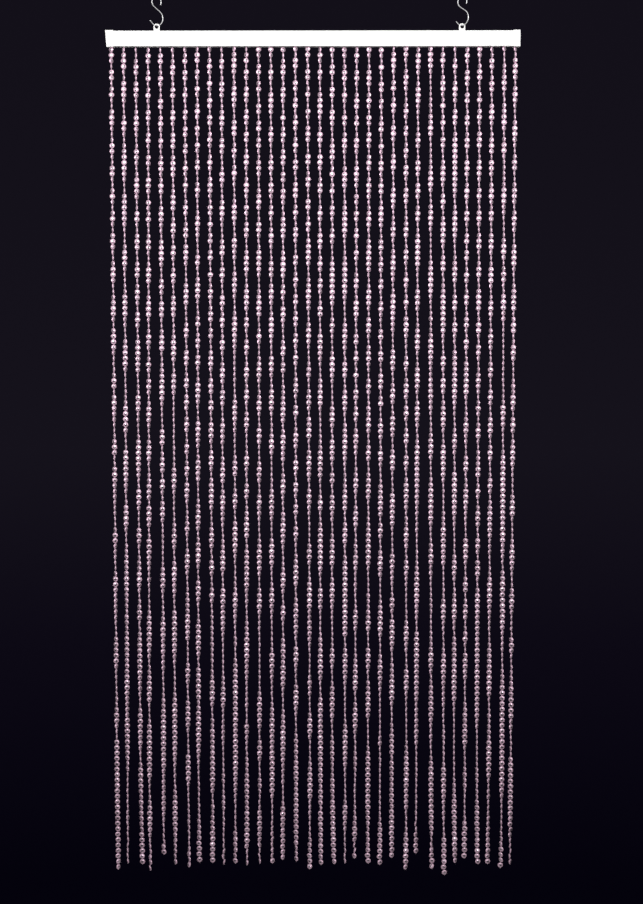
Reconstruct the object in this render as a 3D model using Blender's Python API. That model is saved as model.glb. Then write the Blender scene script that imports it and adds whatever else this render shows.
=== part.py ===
"""Bead curtain: 34 strands of faceted disc beads hanging from a white header rail.

The rail is an open-bottomed channel. A narrow strip lies on its two lips and holds the roots of
all the strands, a cap closes each end of the channel, and two tabs with an eye stand up through
slits in its top wall. An S-hook passes through each eye. The whole curtain hangs from the upper
bows of the two hooks.

Metres, +Z up, the front faces -Y. The origin lies midway along the rail's length and depth, at
the height where the upper bows bear on whatever holds them.
"""
import math
import random
from typing import NamedTuple

import bmesh
import bpy
from mathutils import Matrix, Vector

# Clearance between pieces that touch in the real curtain
GAP = 0.0003

# Header rail, a channel open along its bottom
HALF_LENGTH = 0.4458
RAIL_HEIGHT = 0.033
RAIL_DEPTH = 0.022
RAIL_WALL = 0.0015
RAIL_SLOT = 0.014
RAIL_ROUNDING = 0.0004

# End caps, pushed over the rail's ends and open at the back
CAP_LENGTH = 0.015
CAP_WALL = 0.0011
CAP_SOLE = 0.0009
CAP_PLATE = 0.0015
CAP_ROUNDING = 0.0004
LEFT_CAP_LEAN = 0.0028

# Hanger tabs: a blade with a round eye, on a foot under the rail's top wall
TAB_PLACES = {"left": -0.3383, "right": 0.3211}
TAB_WIDTH = 0.0136
TAB_THICKNESS = 0.0016
TAB_FOOT_LENGTH = 0.024
TAB_FOOT_DEPTH = 0.009
TAB_FOOT_HEIGHT = 0.0015
TAB_ROUNDING = 0.0002
EYE_HEIGHT = 0.0096
EYE_RADIUS = 0.0042
EYE_FACETS = 24

# S-hooks, bent from round wire; the lower bow hangs open to the left, the upper one to the right
WIRE = 0.0020
LOWER_BOW = 0.0165
UPPER_BOW = 0.012
BOW_SPACING = 0.034
LOWER_BOW_START = math.radians(-45)
LOWER_TAIL = 0.006
UPPER_BOW_END = math.radians(-25)
HOOK_TURN = {"left": math.radians(40), "right": math.radians(-40)}
HOOK_SEAT = 0.0007
HOOK_STEP = math.radians(15)
WIRE_RESOLUTION = 2

# Strands of beads
STRANDS = 34
FIRST_STRAND = -0.4367
STRAND_PITCH = 0.02653
LAST_STRAND_SHIFT = -0.0027
BEADS = 148
BEAD_PITCH = 0.012125
BEAD_WIDTH = 0.012
BEAD_THICKNESS = 0.0044
FIRST_BEAD_DROP = 0.0061
RING_EVERY = 6
ROOT_WIDTH = 0.003
TIP_WIDTH = 0.003
ROOT_SINK = 0.0008

# Strip that the strands are fused into
STRIP_HALF_LENGTH = 0.4408
STRIP_WIDTH = 0.0184
STRIP_HEIGHT = 0.002

# How the discs turn about their string from one to the next, in degrees
SEED = 4100
TURN_AT_TOP = 44.0
TURN_AT_BOTTOM = 5.0
TURN_SPREAD = 0.2
TURN_JITTER = 10.0
TURN_DRIFT = 7.0
DRIFT_KEPT = 0.7

# How the strands hang out of true: the start and the pitch of their discs vary a little too
CURL_FROM = 0.85
DEPTH_LEAN = 0.0022
DEPTH_CURL = 0.003
START_SPREAD = 0.0007
PITCH_SPREAD = 0.0010


class Hang(NamedTuple):
    """How one strand differs from a plain one: beads more or fewer, and its lean in metres."""
    more_beads: int
    lean: float
    curl: float


# Strands that hang unlike the rest, counted from the left
UNEVEN = {
    1: Hang(more_beads=1, lean=0.0014, curl=0.0016),
    2: Hang(more_beads=0, lean=-0.0020, curl=0.0),
    3: Hang(more_beads=0, lean=0.0008, curl=0.0028),
    4: Hang(more_beads=1, lean=-0.0070, curl=0.0020),
    5: Hang(more_beads=-2, lean=-0.0014, curl=-0.0010),
    6: Hang(more_beads=0, lean=-0.0032, curl=0.0),
    7: Hang(more_beads=1, lean=0.0, curl=0.0012),
    8: Hang(more_beads=0, lean=-0.0038, curl=0.0016),
    9: Hang(more_beads=0, lean=0.0010, curl=-0.0012),
    10: Hang(more_beads=0, lean=-0.0022, curl=0.0008),
    11: Hang(more_beads=0, lean=-0.0014, curl=-0.0010),
    12: Hang(more_beads=0, lean=-0.0030, curl=0.0006),
    13: Hang(more_beads=0, lean=-0.0012, curl=-0.0006),
    15: Hang(more_beads=-1, lean=-0.0026, curl=-0.0008),
    17: Hang(more_beads=1, lean=0.0050, curl=-0.0014),
    18: Hang(more_beads=0, lean=0.0012, curl=0.0006),
    19: Hang(more_beads=0, lean=0.0004, curl=0.0040),
    20: Hang(more_beads=0, lean=0.0030, curl=-0.0012),
    21: Hang(more_beads=-1, lean=-0.0022, curl=-0.0014),
    24: Hang(more_beads=-1, lean=-0.0008, curl=0.0008),
    25: Hang(more_beads=1, lean=0.0062, curl=-0.0016),
    26: Hang(more_beads=-2, lean=0.0008, curl=-0.0008),
    27: Hang(more_beads=1, lean=0.0078, curl=0.0012),
    28: Hang(more_beads=2, lean=0.0092, curl=0.0006),
    29: Hang(more_beads=0, lean=0.0052, curl=0.0026),
    30: Hang(more_beads=-1, lean=0.0022, curl=0.0),
    31: Hang(more_beads=0, lean=0.0024, curl=0.0022),
    32: Hang(more_beads=0, lean=0.0022, curl=-0.0016),
    33: Hang(more_beads=1, lean=0.0052, curl=-0.0016),
}
PLAIN = Hang(more_beads=0, lean=0.0, curl=0.0)

# Heights that follow from the sizes above
BOW_BOTTOM = EYE_HEIGHT + EYE_RADIUS - WIRE / 2 - HOOK_SEAT
RAIL_TOP = -(BOW_BOTTOM + LOWER_BOW + BOW_SPACING + UPPER_BOW - WIRE / 2)
RAIL_BOTTOM = RAIL_TOP - RAIL_HEIGHT
STRIP_BOTTOM = RAIL_BOTTOM + RAIL_WALL + GAP


def material(name, color, roughness, metallic=0.0):
    """A Principled material of one plain colour."""
    made = bpy.data.materials.new(name)
    made.use_nodes = True
    made.diffuse_color = (*color, 1.0)
    shader = made.node_tree.nodes["Principled BSDF"]
    shader.inputs["Base Color"].default_value = (*color, 1.0)
    shader.inputs["Roughness"].default_value = roughness
    shader.inputs["Metallic"].default_value = metallic
    return made


def new_object(name, mesh, finish=None):
    """Link an object that holds the mesh; without a finish it is a cutter or a guide."""
    made = bpy.data.objects.new(name, mesh)
    bpy.context.collection.objects.link(made)
    if finish is None:
        made.hide_render = True
        made.display_type = "WIRE"
    else:
        mesh.materials.append(finish)
    return made


def to_mesh(name, bm):
    """Turn a bmesh into a mesh with its faces pointing out."""
    bmesh.ops.recalc_face_normals(bm, faces=bm.faces)
    mesh = bpy.data.meshes.new(name)
    bm.to_mesh(mesh)
    bm.free()
    return mesh


def box_mesh(name, low, high):
    """A box between two opposite corners."""
    low = Vector(low)
    high = Vector(high)
    bm = bmesh.new()
    size = high - low
    place = Matrix.Translation((low + high) / 2) @ Matrix.Diagonal((*size, 1.0))
    bmesh.ops.create_cube(bm, size=1.0, matrix=place)
    return to_mesh(name, bm)


def prism_mesh(name, outline, step):
    """An outline, given as points in one plane, swept straight along the vector step."""
    bm = bmesh.new()
    face = bm.faces.new([bm.verts.new(point) for point in outline])
    swept = bmesh.ops.extrude_face_region(bm, geom=[face])
    moved = [item for item in swept["geom"] if isinstance(item, bmesh.types.BMVert)]
    bmesh.ops.translate(bm, verts=moved, vec=step)
    return to_mesh(name, bm)


def combine(target, other, operation):
    """Add a Boolean modifier that cuts the other object from the target, or unites it."""
    modifier = target.modifiers.new(other.name, "BOOLEAN")
    modifier.operation = operation
    modifier.solver = "EXACT"
    modifier.object = other


def round_edges(target, width):
    """Round the target's sharp edges with a two-step bevel."""
    modifier = target.modifiers.new("rounding", "BEVEL")
    modifier.width = width
    modifier.segments = 2
    modifier.limit_method = "ANGLE"
    modifier.angle_limit = math.radians(50)


def make_rail(plastic):
    """The channel, its long edges rounded, with a slit in the top wall for each tab."""
    outside = RAIL_DEPTH / 2
    inside = outside - RAIL_WALL
    lip = RAIL_SLOT / 2
    top = RAIL_HEIGHT
    profile = [
        (lip, 0.0),
        (outside, 0.0),
        (outside, top),
        (-outside, top),
        (-outside, 0.0),
        (-lip, 0.0),
        (-lip, RAIL_WALL),
        (-inside, RAIL_WALL),
        (-inside, top - RAIL_WALL),
        (inside, top - RAIL_WALL),
        (inside, RAIL_WALL),
        (lip, RAIL_WALL),
    ]
    reach = HALF_LENGTH - CAP_PLATE - GAP
    outline = [(-reach, y, RAIL_BOTTOM + z) for y, z in profile]
    mesh = prism_mesh("rail", outline, (2 * reach, 0.0, 0.0))

    bm = bmesh.new()
    bm.from_mesh(mesh)
    long_edges = [edge for edge in bm.edges if edge.calc_length() > reach]
    bmesh.ops.bevel(bm, geom=long_edges, offset=RAIL_ROUNDING, segments=2, profile=0.5, affect="EDGES")
    bm.to_mesh(mesh)
    bm.free()
    rail = new_object("rail", mesh, plastic)

    for side, place in TAB_PLACES.items():
        reach_x = TAB_WIDTH / 2 + GAP
        reach_y = TAB_THICKNESS / 2 + GAP
        low = (place - reach_x, -reach_y, RAIL_TOP - 2 * RAIL_WALL)
        high = (place + reach_x, reach_y, RAIL_TOP + RAIL_WALL)
        slit = new_object("slit_" + side, box_mesh("slit_" + side, low, high))
        combine(rail, slit, "DIFFERENCE")
    return rail


def make_cap(side, plastic):
    """One end cap: an end plate with a front wall, a top wall and two soles under the lips."""
    sign = -1.0 if side == "left" else 1.0
    lean = LEFT_CAP_LEAN if side == "left" else 0.0
    name = "end_cap_" + side
    inner = HALF_LENGTH - CAP_LENGTH
    front = -(RAIL_DEPTH / 2 + GAP + CAP_WALL)
    back = RAIL_DEPTH / 2
    bottom = RAIL_BOTTOM - GAP - CAP_SOLE
    top = RAIL_TOP + GAP + CAP_WALL
    outline = [
        (sign * inner, front, bottom),
        (sign * HALF_LENGTH, front, bottom),
        (sign * (HALF_LENGTH + lean), front, top),
        (sign * inner, front, top),
    ]
    cap = new_object(name, prism_mesh(name, outline, (0.0, back - front, 0.0)), plastic)

    ends = sorted((sign * (inner - CAP_LENGTH), sign * (HALF_LENGTH - CAP_PLATE)))
    hollow_low = (ends[0], -RAIL_DEPTH / 2 - GAP, RAIL_BOTTOM - GAP)
    hollow_high = (ends[1], back + CAP_LENGTH, RAIL_TOP + GAP)
    hollow = new_object(name + "_hollow", box_mesh(name + "_hollow", hollow_low, hollow_high))
    combine(cap, hollow, "DIFFERENCE")

    slot_low = (ends[0], -RAIL_SLOT / 2, bottom - CAP_LENGTH)
    slot_high = (ends[1], RAIL_SLOT / 2, RAIL_BOTTOM + CAP_LENGTH)
    slot = new_object(name + "_slot", box_mesh(name + "_slot", slot_low, slot_high))
    combine(cap, slot, "DIFFERENCE")
    round_edges(cap, CAP_ROUNDING)
    return cap


def make_hanger(side, plastic):
    """One hanger: a round-topped blade with an eye, standing on a foot inside the rail."""
    name = "hanger_" + side
    place = TAB_PLACES[side]
    foot_top = -RAIL_WALL - GAP
    foot_bottom = foot_top - TAB_FOOT_HEIGHT
    radius = TAB_WIDTH / 2
    outline = [(place - radius, 0.0, foot_bottom), (place + radius, 0.0, foot_bottom)]
    for step in range(EYE_FACETS + 1):
        angle = math.pi * step / EYE_FACETS
        outline.append((place + radius * math.cos(angle), 0.0, EYE_HEIGHT + radius * math.sin(angle)))
    shifted = [(x, -TAB_THICKNESS / 2, RAIL_TOP + z) for x, _, z in outline]
    hanger = new_object(name, prism_mesh(name, shifted, (0.0, TAB_THICKNESS, 0.0)), plastic)

    low = (place - TAB_FOOT_LENGTH / 2, -TAB_FOOT_DEPTH / 2, RAIL_TOP + foot_bottom)
    high = (place + TAB_FOOT_LENGTH / 2, TAB_FOOT_DEPTH / 2, RAIL_TOP + foot_top)
    foot = new_object(name + "_foot", box_mesh(name + "_foot", low, high))
    combine(hanger, foot, "UNION")

    bm = bmesh.new()
    lie_along_y = Matrix.Rotation(math.pi / 2, 4, "X")
    eye_place = Matrix.Translation((place, 0.0, RAIL_TOP + EYE_HEIGHT)) @ lie_along_y
    bmesh.ops.create_cone(
        bm, cap_ends=True, segments=EYE_FACETS, radius1=EYE_RADIUS, radius2=EYE_RADIUS,
        depth=4 * TAB_THICKNESS, matrix=eye_place,
    )
    eye = new_object(name + "_eye", to_mesh(name + "_eye", bm))
    combine(hanger, eye, "DIFFERENCE")
    round_edges(hanger, TAB_ROUNDING)
    return hanger


def arc(centre, radius, start, end):
    """Points round a circle in the hook's plane, from start to end, both included."""
    steps = max(2, round(abs(end - start) / HOOK_STEP))
    angles = [start + (end - start) * step / steps for step in range(steps + 1)]
    return [(radius * math.cos(angle), centre + radius * math.sin(angle)) for angle in angles]


def hook_path():
    """The wire's centre line in its own plane, as (across, up) from the lower bow's lowest point."""
    lower_centre = LOWER_BOW
    upper_centre = LOWER_BOW + BOW_SPACING
    # Both bows meet one straight stretch that leans this far from upright
    lean = math.asin((LOWER_BOW + UPPER_BOW) / BOW_SPACING)
    first = LOWER_BOW_START - math.pi / 2
    lower = arc(lower_centre, LOWER_BOW, first, lean)
    upper = arc(upper_centre, UPPER_BOW, math.pi + lean, UPPER_BOW_END)
    along = (math.sin(first), -math.cos(first))
    start = lower[0]
    tail = (start[0] + along[0] * LOWER_TAIL, start[1] + along[1] * LOWER_TAIL)
    middle = ((tail[0] + start[0]) / 2, (tail[1] + start[1]) / 2)
    return [tail, middle] + lower + upper


def make_hook(side, metal):
    """One S-hook, turned about the upright so that its lower bow passes through the eye."""
    name = "hook_" + side
    curve = bpy.data.curves.new(name, "CURVE")
    curve.dimensions = "3D"
    curve.bevel_depth = WIRE / 2
    curve.bevel_resolution = WIRE_RESOLUTION
    curve.use_fill_caps = True
    path = hook_path()
    spline = curve.splines.new("POLY")
    spline.points.add(len(path) - 1)
    for point, (across, up) in zip(spline.points, path):
        point.co = (across, 0.0, up, 1.0)
    curve.materials.append(metal)
    hook = bpy.data.objects.new(name, curve)
    bpy.context.collection.objects.link(hook)
    hook.location = (TAB_PLACES[side], 0.0, RAIL_TOP + BOW_BOTTOM)
    hook.rotation_euler = (0.0, 0.0, HOOK_TURN[side])
    return hook


def bead_turns(number, count):
    """Each disc's angle about the string: steps shorten down the strand and vary at random."""
    rng = random.Random(SEED + number)
    angle = rng.uniform(0.0, 180.0)
    own_rate = 1.0 + rng.gauss(0.0, TURN_SPREAD)
    drift = 0.0
    turns = []
    for bead in range(count):
        turns.append(math.radians(angle))
        share = bead / (count - 1)
        drift = DRIFT_KEPT * drift + rng.gauss(0.0, TURN_DRIFT)
        step = own_rate * (TURN_AT_TOP + (TURN_AT_BOTTOM - TURN_AT_TOP) * share)
        angle += step + drift + rng.gauss(0.0, TURN_JITTER)
    return turns


def bead_centres(number, count):
    """The middle of each disc, from the top down, along the strand's lean and curl."""
    hang = UNEVEN.get(number, PLAIN)
    rng = random.Random(-SEED - number)
    depth_lean = rng.gauss(0.0, DEPTH_LEAN)
    depth_curl = rng.gauss(0.0, DEPTH_CURL)
    x = FIRST_STRAND + STRAND_PITCH * (number - 1)
    if number == STRANDS:
        x += LAST_STRAND_SHIFT
    z = RAIL_BOTTOM - FIRST_BEAD_DROP + rng.gauss(0.0, START_SPREAD)
    pitch = BEAD_PITCH * (1.0 + rng.gauss(0.0, PITCH_SPREAD))
    centres = []
    for bead in range(count):
        share = bead / (BEADS - 1)
        curl = max(0.0, (share - CURL_FROM) / (1.0 - CURL_FROM)) ** 2
        centres.append(Vector((
            x + hang.lean * share + hang.curl * curl,
            depth_lean * share + depth_curl * curl,
            z - pitch * bead,
        )))
    return centres


def add_twisted_side(bm, upper, lower, corner, twist):
    """One side between two rings, split so that its fold bulges out whichever way the body turns."""
    after = (corner + 1) % 4
    if twist > 0.0:
        bm.faces.new((upper[corner], upper[after], lower[after]))
        bm.faces.new((upper[corner], lower[after], lower[corner]))
    else:
        bm.faces.new((upper[corner], upper[after], lower[corner]))
        bm.faces.new((upper[after], lower[after], lower[corner]))


def add_strand(bm, number):
    """One strand as a four-sided body that turns with its discs, tapered at both ends."""
    count = BEADS + UNEVEN.get(number, PLAIN).more_beads
    turns = bead_turns(number, count)
    centres = bead_centres(number, count)
    picked = list(range(0, count - RING_EVERY // 2, RING_EVERY)) + [count - 1]

    root = Vector((centres[0].x, centres[0].y, STRIP_BOTTOM + ROOT_SINK))
    tip = centres[-1] + Vector((0.0, 0.0, -BEAD_WIDTH / 2))
    sections = [(root, turns[0], ROOT_WIDTH, ROOT_WIDTH)]
    sections += [(centres[bead], turns[bead], BEAD_WIDTH, BEAD_THICKNESS) for bead in picked]
    sections.append((tip, turns[-1], TIP_WIDTH, TIP_WIDTH / 2))

    rings = []
    twists = []
    angle = turns[0]
    for centre, turn, width, thickness in sections:
        # A disc looks the same after half a turn, so the body takes the shorter way round
        twist = (turn - angle + math.pi / 2) % math.pi - math.pi / 2
        angle += twist
        across = Vector((math.cos(angle), math.sin(angle), 0.0)) * width / 2
        facing = Vector((math.sin(angle), -math.cos(angle), 0.0)) * thickness / 2
        corners = (centre + across, centre + facing, centre - across, centre - facing)
        rings.append([bm.verts.new(corner) for corner in corners])
        twists.append(twist)

    for upper, lower, twist in zip(rings, rings[1:], twists[1:]):
        for corner in range(4):
            add_twisted_side(bm, upper, lower, corner, twist)
    bm.faces.new(rings[0])
    bm.faces.new(rings[-1])


def make_strands(pearl):
    """The strip on the rail's lips and every strand, fused into one body."""
    low = (-STRIP_HALF_LENGTH, -STRIP_WIDTH / 2, STRIP_BOTTOM)
    high = (STRIP_HALF_LENGTH, STRIP_WIDTH / 2, STRIP_BOTTOM + STRIP_HEIGHT)
    strands = new_object("strands", box_mesh("strands", low, high), pearl)
    bm = bmesh.new()
    for number in range(1, STRANDS + 1):
        add_strand(bm, number)
    bundle = new_object("strand_bundle", to_mesh("strand_bundle", bm))
    combine(strands, bundle, "UNION")
    return strands


def main():
    """Clear the scene and build the curtain."""
    for old in list(bpy.data.objects):
        bpy.data.objects.remove(old, do_unlink=True)

    plastic = material("white_plastic", (0.90, 0.90, 0.89), 0.35)
    metal = material("zinc_wire", (0.70, 0.71, 0.72), 0.30, metallic=1.0)
    pearl = material("pink_pearl", (0.62, 0.42, 0.52), 0.25, metallic=0.4)

    pieces = [make_rail(plastic), make_strands(pearl)]
    for side in TAB_PLACES:
        pieces.append(make_cap(side, plastic))
        pieces.append(make_hanger(side, plastic))
        pieces.append(make_hook(side, metal))

    holder = bpy.data.objects.new("bead_curtain", None)
    bpy.context.collection.objects.link(holder)
    for piece in pieces:
        piece.parent = holder


main()
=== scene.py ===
"""Looks of the bead curtain: its discs, threads, rail, hangers and hooks, dressed for the camera.

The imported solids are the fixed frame. The rail and its end caps keep their solids and get a moulded
white plastic. The strands, the hanger tabs and the hooks are replaced by finer meshes in the same
places. Metres, +Z up, the front faces -Y, as in the frame.
"""

import logging
import math
import random
from dataclasses import dataclass, field
from enum import Enum
from typing import Dict, List, Sequence, Tuple

import bmesh
import bpy
import numpy as np
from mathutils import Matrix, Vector

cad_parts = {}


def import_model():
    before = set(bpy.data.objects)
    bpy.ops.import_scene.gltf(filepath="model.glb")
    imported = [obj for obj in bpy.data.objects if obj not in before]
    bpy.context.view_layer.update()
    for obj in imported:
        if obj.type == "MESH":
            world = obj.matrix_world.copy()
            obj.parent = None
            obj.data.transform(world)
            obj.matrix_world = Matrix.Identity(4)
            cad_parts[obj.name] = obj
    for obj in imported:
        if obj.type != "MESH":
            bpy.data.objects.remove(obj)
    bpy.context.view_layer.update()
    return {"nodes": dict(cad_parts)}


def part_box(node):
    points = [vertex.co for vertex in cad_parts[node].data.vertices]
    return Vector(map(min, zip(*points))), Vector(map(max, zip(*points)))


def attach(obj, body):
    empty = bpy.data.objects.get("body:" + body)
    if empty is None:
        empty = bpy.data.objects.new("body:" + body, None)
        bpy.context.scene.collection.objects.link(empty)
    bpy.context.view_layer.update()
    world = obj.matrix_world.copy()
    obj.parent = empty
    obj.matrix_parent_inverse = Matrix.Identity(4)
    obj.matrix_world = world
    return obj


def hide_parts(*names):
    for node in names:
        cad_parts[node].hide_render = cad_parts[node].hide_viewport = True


LOG = logging.getLogger("bead_curtain")
BODY = "root"
KEY_SPREAD = math.radians(66)
SIDE_SPREAD = math.radians(80)

Color = Tuple[float, float, float]
Point = Tuple[float, float, float]
Mesh = bpy.types.Mesh
Material = bpy.types.Material
Object = bpy.types.Object
Socket = bpy.types.NodeSocket
BMesh = bmesh.types.BMesh
Edges = Sequence[bmesh.types.BMEdge]


class Side(Enum):
    """The two ends of the rail, as seen from the front."""

    LEFT = "left"
    RIGHT = "right"

    @property
    def sign(self) -> float:
        """-1 on the left and +1 on the right."""
        return -1.0 if self is Side.LEFT else 1.0


class Slot(Enum):
    """The material slots of the record."""

    PLASTIC = "white_plastic"
    WIRE = "zinc_wire"
    PEARL = "pink_pearl"


def link(name: str, data: bpy.types.ID) -> Object:
    """Make an object of the data and link it to the scene.

    Args:
        name: the object's name.
        data: its mesh, light or camera.

    Returns:
        The new object, at the origin.
    """
    made = bpy.data.objects.new(name, data)
    bpy.context.scene.collection.objects.link(made)
    return made


def add_piece(name: str, mesh: Mesh, replaced: Sequence[str] = ()) -> Object:
    """Link a mesh as a piece that rides on the curtain's one body.

    Args:
        name: the piece's name.
        mesh: its mesh, in the frame's own metres.
        replaced: the nodes it stands for.

    Returns:
        The piece.
    """
    piece = link(name, mesh)
    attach(piece, BODY)
    if replaced:
        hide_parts(*replaced)
    LOG.info("%s: %d faces", name, len(mesh.polygons))
    return piece


def mesh_from_arrays(name: str, points: np.ndarray, sizes: np.ndarray, corners: np.ndarray) -> Mesh:
    """Build a mesh from flat arrays.

    Args:
        name: the mesh's name.
        points: the vertices, one row each.
        sizes: the number of corners of each face.
        corners: the vertex of each face corner, face after face.

    Returns:
        The mesh, with flat faces.
    """
    mesh = bpy.data.meshes.new(name)
    mesh.vertices.add(len(points))
    mesh.vertices.foreach_set("co", points.astype(np.float32).ravel())
    mesh.loops.add(len(corners))
    mesh.loops.foreach_set("vertex_index", corners.astype(np.int32))
    mesh.polygons.add(len(sizes))
    starts = np.concatenate(([0], np.cumsum(sizes)[:-1]))
    mesh.polygons.foreach_set("loop_start", starts.astype(np.int32))
    mesh.update(calc_edges=True)
    mesh.validate()
    return mesh


def store(mesh: Mesh, name: str, values: np.ndarray) -> None:
    """Keep one number for each point under a name that a material can read.

    Args:
        mesh: the mesh that holds them.
        name: the attribute's name.
        values: the numbers, in the points' order.
    """
    attribute = mesh.attributes.new(name, "FLOAT", "POINT")
    attribute.data.foreach_set("value", values.astype(np.float32))


def smooth(mesh: Mesh, angle: float) -> None:
    """Shade the mesh smooth, but for edges sharper than the angle in radians."""
    mesh.shade_smooth()
    mesh.set_sharp_from_angle(angle=angle)


def round_edges(bm: BMesh, edges: Edges, reach: float, steps: int) -> None:
    """Bevel edges to a round.

    Args:
        bm: the mesh.
        edges: the edges to round.
        reach: how far the round goes from each edge.
        steps: how many facets it has.
    """
    bmesh.ops.bevel(bm, geom=edges, offset=reach, segments=steps, profile=0.5, affect="EDGES")


class Nodes:
    """A small helper that adds and wires the nodes of one material or group."""

    # Sockets that share their names with others of the same node go by number
    FACTOR = 0
    FIRST_NUMBER = 2
    SECOND_NUMBER = 3
    FIRST_COLOR = 6
    SECOND_COLOR = 7
    MIXED_NUMBER = 0
    MIXED_COLOR = 2
    RANGE_VALUE = 0
    RANGE_FROM_LOW = 1
    RANGE_TO_LOW = 3
    RANGE_TO_HIGH = 4

    def __init__(self, tree: bpy.types.NodeTree) -> None:
        """Start on the given node tree."""
        self.tree = tree

    def add(self, kind: str, **settings: object) -> bpy.types.Node:
        """Add a node.

        Args:
            kind: the node's type, without its ShaderNode prefix.
            settings: properties to set on it.

        Returns:
            The node.
        """
        node = self.tree.nodes.new("ShaderNode" + kind)
        for key, value in settings.items():
            setattr(node, key, value)
        return node

    def wire(self, source: Socket, target: Socket) -> None:
        """Link one socket to another."""
        self.tree.links.new(source, target)

    def math(self, operation: str, first: object, second: object) -> Socket:
        """Combine two numbers or sockets.

        Args:
            operation: a Math node's operation.
            first: a socket or a number.
            second: a socket or a number.

        Returns:
            The result's socket.
        """
        node = self.add("Math", operation=operation)
        for socket, value in zip(node.inputs, (first, second)):
            self.feed(socket, value)
        return node.outputs[0]

    def mix(self, factor: object, first: object, second: object, blend: str = "MIX") -> Socket:
        """Mix two colours.

        Args:
            factor: a socket or a number from 0 to 1.
            first: a socket or a colour.
            second: a socket or a colour.
            blend: the Mix node's blend type.

        Returns:
            The mixed colour's socket.
        """
        node = self.add("Mix", data_type="RGBA", blend_type=blend)
        self.feed(node.inputs[self.FACTOR], factor)
        self.feed(node.inputs[self.FIRST_COLOR], first)
        self.feed(node.inputs[self.SECOND_COLOR], second)
        return node.outputs[self.MIXED_COLOR]

    def mix_numbers(self, factor: object, first: object, second: object) -> Socket:
        """Mix two numbers.

        Args:
            factor: a socket or a number from 0 to 1.
            first: a socket or a number.
            second: a socket or a number.

        Returns:
            The mixed number's socket.
        """
        node = self.add("Mix", data_type="FLOAT")
        self.feed(node.inputs[self.FACTOR], factor)
        self.feed(node.inputs[self.FIRST_NUMBER], first)
        self.feed(node.inputs[self.SECOND_NUMBER], second)
        return node.outputs[self.MIXED_NUMBER]

    def spread(self, value: object, low: float, high: float) -> Socket:
        """Map a number from 0..1 to low..high and clamp it.

        Args:
            value: the socket to map.
            low: the result at 0.
            high: the result at 1.

        Returns:
            The mapped number's socket.
        """
        node = self.add("MapRange")
        self.feed(node.inputs[self.RANGE_VALUE], value)
        node.inputs[self.RANGE_TO_LOW].default_value = low
        node.inputs[self.RANGE_TO_HIGH].default_value = high
        return node.outputs[0]

    def feed(self, socket: Socket, value: object) -> None:
        """Set a socket's value, or wire another socket into it.

        Args:
            socket: the socket to feed.
            value: another socket, a number, a vector or a colour.
        """
        if isinstance(value, Socket):
            self.wire(value, socket)
        elif isinstance(value, tuple) and len(value) == 3 and socket.type == "RGBA":
            socket.default_value = (*value, 1.0)
        else:
            socket.default_value = value


class SurfaceGrain:
    """The shader group for the fine unevenness that every finish here shares.

    It gives a colour that drifts between two tones, a roughness that drifts with it, and a height
    for a bump. Stretch draws the grain out along one axis, as on drawn wire or extruded plastic.
    """

    NAME = "surface_grain"
    FINE_RATIO = 9.0
    BROAD_DETAIL = 4.0
    FINE_DETAIL = 6.0

    @classmethod
    def tree(cls) -> bpy.types.NodeTree:
        """Return the group, built on its first use."""
        found = bpy.data.node_groups.get(cls.NAME)
        return found if found else cls.build()

    @classmethod
    def build(cls) -> bpy.types.NodeTree:
        """Build the group's sockets and nodes.

        Returns:
            The node tree.
        """
        tree = bpy.data.node_groups.new(cls.NAME, "ShaderNodeTree")
        sockets = (
            ("Tone", "NodeSocketColor", "INPUT"),
            ("Worn Tone", "NodeSocketColor", "INPUT"),
            ("Scale", "NodeSocketFloat", "INPUT"),
            ("Stretch", "NodeSocketVector", "INPUT"),
            ("Smoothest", "NodeSocketFloat", "INPUT"),
            ("Roughest", "NodeSocketFloat", "INPUT"),
            ("Color", "NodeSocketColor", "OUTPUT"),
            ("Roughness", "NodeSocketFloat", "OUTPUT"),
            ("Height", "NodeSocketFloat", "OUTPUT"),
        )
        for name, kind, way in sockets:
            tree.interface.new_socket(name=name, in_out=way, socket_type=kind)

        nodes = Nodes(tree)
        inner = tree.nodes.new("NodeGroupInput")
        outer = tree.nodes.new("NodeGroupOutput")
        place = nodes.add("TexCoord")
        mapping = nodes.add("Mapping")
        nodes.wire(place.outputs["Object"], mapping.inputs["Vector"])
        nodes.wire(inner.outputs["Stretch"], mapping.inputs["Scale"])

        broad = nodes.add("TexNoise")
        broad.inputs["Detail"].default_value = cls.BROAD_DETAIL
        nodes.wire(mapping.outputs["Vector"], broad.inputs["Vector"])
        nodes.wire(inner.outputs["Scale"], broad.inputs["Scale"])
        fine = nodes.add("TexNoise")
        fine.inputs["Detail"].default_value = cls.FINE_DETAIL
        nodes.wire(mapping.outputs["Vector"], fine.inputs["Vector"])
        nodes.wire(nodes.math("MULTIPLY", inner.outputs["Scale"], cls.FINE_RATIO), fine.inputs["Scale"])

        tone = nodes.mix(broad.outputs["Fac"], inner.outputs["Tone"], inner.outputs["Worn Tone"])
        reach = nodes.math("SUBTRACT", inner.outputs["Roughest"], inner.outputs["Smoothest"])
        rise = nodes.math("MULTIPLY", reach, fine.outputs["Fac"])
        nodes.wire(tone, outer.inputs["Color"])
        nodes.wire(nodes.math("ADD", inner.outputs["Smoothest"], rise), outer.inputs["Roughness"])
        nodes.wire(fine.outputs["Fac"], outer.inputs["Height"])
        return tree


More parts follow.
